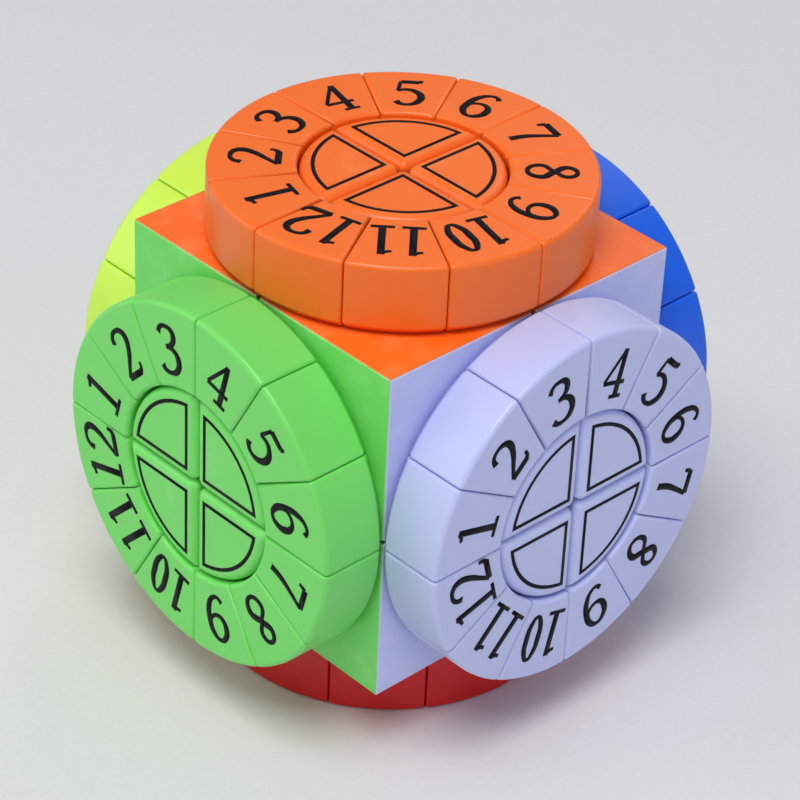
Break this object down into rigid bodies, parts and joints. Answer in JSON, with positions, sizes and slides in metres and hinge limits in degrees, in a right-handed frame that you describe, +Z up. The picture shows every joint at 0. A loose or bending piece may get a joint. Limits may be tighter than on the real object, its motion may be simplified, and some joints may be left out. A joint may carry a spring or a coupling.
{
  "type": "two-layer twisty cube puzzle with number wheels",
  "caption": "Cube-shaped twisty puzzle with a thick round wheel of numbered wedge segments and quarter caps on each face.",
  "frame": {"origin": "middle of the core, which is the middle of the whole puzzle", "axes": "+Z up through the orange wheel, -Y the front through the green wheel, +X the right through the white wheel"},
  "size_m": [0.07, 0.07, 0.07],
  "materials": {
    "orange_plastic": "satin-gloss moulded ABS, orange",
    "red_plastic": "satin-gloss moulded ABS, red",
    "green_plastic": "satin-gloss moulded ABS, light green",
    "blue_plastic": "satin-gloss moulded ABS, blue",
    "white_plastic": "satin-gloss moulded ABS, cool white",
    "yellow_plastic": "satin-gloss moulded ABS, lime yellow",
    "tile_plastic": "satin-gloss moulded ABS; each tile takes the colour of its face",
    "cap_plastic": "satin-gloss moulded ABS; each cap takes the colour of its face",
    "frame_plastic": "matte black moulded ABS",
    "works_plastic": "matte grey moulded nylon",
    "ink": "black pad-printed ink",
    "spring_steel": "drawn spring wire",
    "screw_steel": "zinc-plated steel"
  },
  "bodies": {
    "corner_down_front_left": {"corner_frame_down_front_left": "frame_plastic", "corner_tiles_down_front_left": "tile_plastic", "quarter_caps_down_front_left": "cap_plastic", "inner_pieces_down_front_left": "works_plastic", "core": "works_plastic", "core_screws": "screw_steel", "core_springs": "spring_steel", "core_washers": "screw_steel"},
    "corner_down_front_right": {"corner_frame_down_front_right": "frame_plastic", "corner_tiles_down_front_right": "tile_plastic", "quarter_caps_down_front_right": "cap_plastic", "inner_pieces_down_front_right": "works_plastic"},
    "corner_down_back_left": {"corner_frame_down_back_left": "frame_plastic", "corner_tiles_down_back_left": "tile_plastic", "quarter_caps_down_back_left": "cap_plastic", "inner_pieces_down_back_left": "works_plastic"},
    "corner_down_back_right": {"corner_frame_down_back_right": "frame_plastic", "corner_tiles_down_back_right": "tile_plastic", "quarter_caps_down_back_right": "cap_plastic", "inner_pieces_down_back_right": "works_plastic"},
    "corner_up_front_left": {"corner_frame_up_front_left": "frame_plastic", "corner_tiles_up_front_left": "tile_plastic", "quarter_caps_up_front_left": "cap_plastic", "inner_pieces_up_front_left": "works_plastic"},
    "corner_up_front_right": {"corner_frame_up_front_right": "frame_plastic", "corner_tiles_up_front_right": "tile_plastic", "quarter_caps_up_front_right": "cap_plastic", "inner_pieces_up_front_right": "works_plastic"},
    "corner_up_back_left": {"corner_frame_up_back_left": "frame_plastic", "corner_tiles_up_back_left": "tile_plastic", "quarter_caps_up_back_left": "cap_plastic", "inner_pieces_up_back_left": "works_plastic"},
    "corner_up_back_right": {"corner_frame_up_back_right": "frame_plastic", "corner_tiles_up_back_right": "tile_plastic", "quarter_caps_up_back_right": "cap_plastic"},
    "orange_ring_back_left": {"orange_segments_back_left": "orange_plastic"},
    "orange_ring_back_right": {"orange_segments_back_right": "orange_plastic"},
    "orange_ring_front_left": {"orange_segments_front_left": "orange_plastic"},
    "orange_ring_front_right": {"orange_segments_front_right": "orange_plastic"},
    "red_ring_back_left": {"red_segments_back_left": "red_plastic"},
    "red_ring_back_right": {"red_segments_back_right": "red_plastic"},
    "red_ring_front_left": {"red_segments_front_left": "red_plastic"},
    "red_ring_front_right": {"red_segments_front_right": "red_plastic"},
    "green_ring_down_left": {"green_segments_down_left": "green_plastic"},
    "green_ring_down_right": {"green_segments_down_right": "green_plastic"},
    "green_ring_up_left": {"green_segments_up_left": "green_plastic"},
    "green_ring_up_right": {"green_segments_up_right": "green_plastic"},
    "blue_ring_down_left": {"blue_segments_down_left": "blue_plastic"},
    "blue_ring_down_right": {"blue_segments_down_right": "blue_plastic"},
    "blue_ring_up_left": {"blue_segments_up_left": "blue_plastic"},
    "blue_ring_up_right": {"blue_segments_up_right": "blue_plastic"},
    "white_ring_down_back": {"white_segments_down_back": "white_plastic"},
    "white_ring_down_front": {"white_segments_down_front": "white_plastic"},
    "white_ring_up_back": {"white_segments_up_back": "white_plastic"},
    "white_ring_up_front": {"white_segments_up_front": "white_plastic"},
    "yellow_ring_down_back": {"yellow_segments_down_back": "yellow_plastic"},
    "yellow_ring_down_front": {"yellow_segments_down_front": "yellow_plastic"},
    "yellow_ring_up_back": {"yellow_segments_up_back": "yellow_plastic"},
    "yellow_ring_up_front": {"yellow_segments_up_front": "yellow_plastic"}
  },
  "joints": [
    {"name": "top_layer_turn", "type": "hinge", "parent": "corner_down_front_left", "child": "corner_up_front_left", "pos_m": [0, 0, 0], "axis": [0, 0, 1], "range_deg": [0, 270]},
    {"name": "right_layer_turn", "type": "hinge", "parent": "corner_down_front_left", "child": "corner_down_front_right", "pos_m": [0, 0, 0], "axis": [1, 0, 0], "range_deg": [-270, 0]},
    {"name": "right_layer_turn_up_front", "type": "hinge", "parent": "corner_up_front_left", "child": "corner_up_front_right", "pos_m": [0, 0, 0], "axis": [1, 0, 0], "range_deg": [-270, 0]},
    {"name": "back_layer_turn", "type": "hinge", "parent": "corner_down_front_left", "child": "corner_down_back_left", "pos_m": [0, 0, 0], "axis": [0, 1, 0], "range_deg": [0, 360]},
    {"name": "back_layer_turn_down_right", "type": "hinge", "parent": "corner_down_front_right", "child": "corner_down_back_right", "pos_m": [0, 0, 0], "axis": [0, 1, 0], "range_deg": [0, 360]},
    {"name": "back_layer_turn_up_left", "type": "hinge", "parent": "corner_up_front_left", "child": "corner_up_back_left", "pos_m": [0, 0, 0], "axis": [0, 1, 0], "range_deg": [0, 360]},
    {"name": "back_layer_turn_up_right", "type": "hinge", "parent": "corner_up_front_right", "child": "corner_up_back_right", "pos_m": [0, 0, 0], "axis": [0, 1, 0], "range_deg": [0, 360]},
    {"name": "orange_ring_turn", "type": "hinge", "parent": "corner_up_front_left", "child": "orange_ring_front_left", "pos_m": [0, 0, 0], "axis": [0, 0, 1], "continuous": true},
    {"name": "orange_ring_turn_front_right", "type": "hinge", "parent": "corner_up_front_right", "child": "orange_ring_front_right", "pos_m": [0, 0, 0], "axis": [0, 0, 1], "continuous": true},
    {"name": "orange_ring_turn_back_left", "type": "hinge", "parent": "corner_up_back_left", "child": "orange_ring_back_left", "pos_m": [0, 0, 0], "axis": [0, 0, 1], "continuous": true},
    {"name": "orange_ring_turn_back_right", "type": "hinge", "parent": "corner_up_back_right", "child": "orange_ring_back_right", "pos_m": [0, 0, 0], "axis": [0, 0, 1], "continuous": true},
    {"name": "red_ring_turn", "type": "hinge", "parent": "corner_down_front_left", "child": "red_ring_front_left", "pos_m": [0, 0, 0], "axis": [0, 0, -1], "continuous": true},
    {"name": "red_ring_turn_front_right", "type": "hinge", "parent": "corner_down_front_right", "child": "red_ring_front_right", "pos_m": [0, 0, 0], "axis": [0, 0, -1], "continuous": true},
    {"name": "red_ring_turn_back_left", "type": "hinge", "parent": "corner_down_back_left", "child": "red_ring_back_left", "pos_m": [0, 0, 0], "axis": [0, 0, -1], "continuous": true},
    {"name": "red_ring_turn_back_right", "type": "hinge", "parent": "corner_down_back_right", "child": "red_ring_back_right", "pos_m": [0, 0, 0], "axis": [0, 0, -1], "continuous": true},
    {"name": "green_ring_turn", "type": "hinge", "parent": "corner_down_front_left", "child": "green_ring_down_left", "pos_m": [0, 0, 0], "axis": [0, -1, 0], "continuous": true},
    {"name": "green_ring_turn_up_left", "type": "hinge", "parent": "corner_up_front_left", "child": "green_ring_up_left", "pos_m": [0, 0, 0], "axis": [0, -1, 0], "continuous": true},
    {"name": "green_ring_turn_down_right", "type": "hinge", "parent": "corner_down_front_right", "child": "green_ring_down_right", "pos_m": [0, 0, 0], "axis": [0, -1, 0], "continuous": true},
    {"name": "green_ring_turn_up_right", "type": "hinge", "parent": "corner_up_front_right", "child": "green_ring_up_right", "pos_m": [0, 0, 0], "axis": [0, -1, 0], "continuous": true},
    {"name": "blue_ring_turn", "type": "hinge", "parent": "corner_down_back_left", "child": "blue_ring_down_left", "pos_m": [0, 0, 0], "axis": [0, 1, 0], "continuous": true},
    {"name": "blue_ring_turn_up_left", "type": "hinge", "parent": "corner_up_back_left", "child": "blue_ring_up_left", "pos_m": [0, 0, 0], "axis": [0, 1, 0], "continuous": true},
    {"name": "blue_ring_turn_down_right", "type": "hinge", "parent": "corner_down_back_right", "child": "blue_ring_down_right", "pos_m": [0, 0, 0], "axis": [0, 1, 0], "continuous": true},
    {"name": "blue_ring_turn_up_right", "type": "hinge", "parent": "corner_up_back_right", "child": "blue_ring_up_right", "pos_m": [0, 0, 0], "axis": [0, 1, 0], "continuous": true},
    {"name": "white_ring_turn", "type": "hinge", "parent": "corner_down_front_right", "child": "white_ring_down_front", "pos_m": [0, 0, 0], "axis": [1, 0, 0], "continuous": true},
    {"name": "white_ring_turn_up_front", "type": "hinge", "parent": "corner_up_front_right", "child": "white_ring_up_front", "pos_m": [0, 0, 0], "axis": [1, 0, 0], "continuous": true},
    {"name": "white_ring_turn_down_back", "type": "hinge", "parent": "corner_down_back_right", "child": "white_ring_down_back", "pos_m": [0, 0, 0], "axis": [1, 0, 0], "continuous": true},
    {"name": "white_ring_turn_up_back", "type": "hinge", "parent": "corner_up_back_right", "child": "white_ring_up_back", "pos_m": [0, 0, 0], "axis": [1, 0, 0], "continuous": true},
    {"name": "yellow_ring_turn", "type": "hinge", "parent": "corner_down_front_left", "child": "yellow_ring_down_front", "pos_m": [0, 0, 0], "axis": [-1, 0, 0], "continuous": true},
    {"name": "yellow_ring_turn_up_front", "type": "hinge", "parent": "corner_up_front_left", "child": "yellow_ring_up_front", "pos_m": [0, 0, 0], "axis": [-1, 0, 0], "continuous": true},
    {"name": "yellow_ring_turn_down_back", "type": "hinge", "parent": "corner_down_back_left", "child": "yellow_ring_down_back", "pos_m": [0, 0, 0], "axis": [-1, 0, 0], "continuous": true},
    {"name": "yellow_ring_turn_up_back", "type": "hinge", "parent": "corner_up_back_left", "child": "yellow_ring_up_back", "pos_m": [0, 0, 0], "axis": [-1, 0, 0], "continuous": true}
  ],
  "couplings": [
    {"joint": "right_layer_turn_up_front", "follows": "right_layer_turn", "ratio": 1},
    {"joint": "back_layer_turn_down_right", "follows": "back_layer_turn", "ratio": 1},
    {"joint": "back_layer_turn_up_left", "follows": "back_layer_turn", "ratio": 1},
    {"joint": "back_layer_turn_up_right", "follows": "back_layer_turn", "ratio": 1},
    {"joint": "orange_ring_turn_front_right", "follows": "orange_ring_turn", "ratio": 1},
    {"joint": "orange_ring_turn_back_left", "follows": "orange_ring_turn", "ratio": 1},
    {"joint": "orange_ring_turn_back_right", "follows": "orange_ring_turn", "ratio": 1},
    {"joint": "red_ring_turn_front_right", "follows": "red_ring_turn", "ratio": 1},
    {"joint": "red_ring_turn_back_left", "follows": "red_ring_turn", "ratio": 1},
    {"joint": "red_ring_turn_back_right", "follows": "red_ring_turn", "ratio": 1},
    {"joint": "green_ring_turn_up_left", "follows": "green_ring_turn", "ratio": 1},
    {"joint": "green_ring_turn_down_right", "follows": "green_ring_turn", "ratio": 1},
    {"joint": "green_ring_turn_up_right", "follows": "green_ring_turn", "ratio": 1},
    {"joint": "blue_ring_turn_up_left", "follows": "blue_ring_turn", "ratio": 1},
    {"joint": "blue_ring_turn_down_right", "follows": "blue_ring_turn", "ratio": 1},
    {"joint": "blue_ring_turn_up_right", "follows": "blue_ring_turn", "ratio": 1},
    {"joint": "white_ring_turn_up_front", "follows": "white_ring_turn", "ratio": 1},
    {"joint": "white_ring_turn_down_back", "follows": "white_ring_turn", "ratio": 1},
    {"joint": "white_ring_turn_up_back", "follows": "white_ring_turn", "ratio": 1},
    {"joint": "yellow_ring_turn_up_front", "follows": "yellow_ring_turn", "ratio": 1},
    {"joint": "yellow_ring_turn_down_back", "follows": "yellow_ring_turn", "ratio": 1},
    {"joint": "yellow_ring_turn_up_back", "follows": "yellow_ring_turn", "ratio": 1}
  ]
}
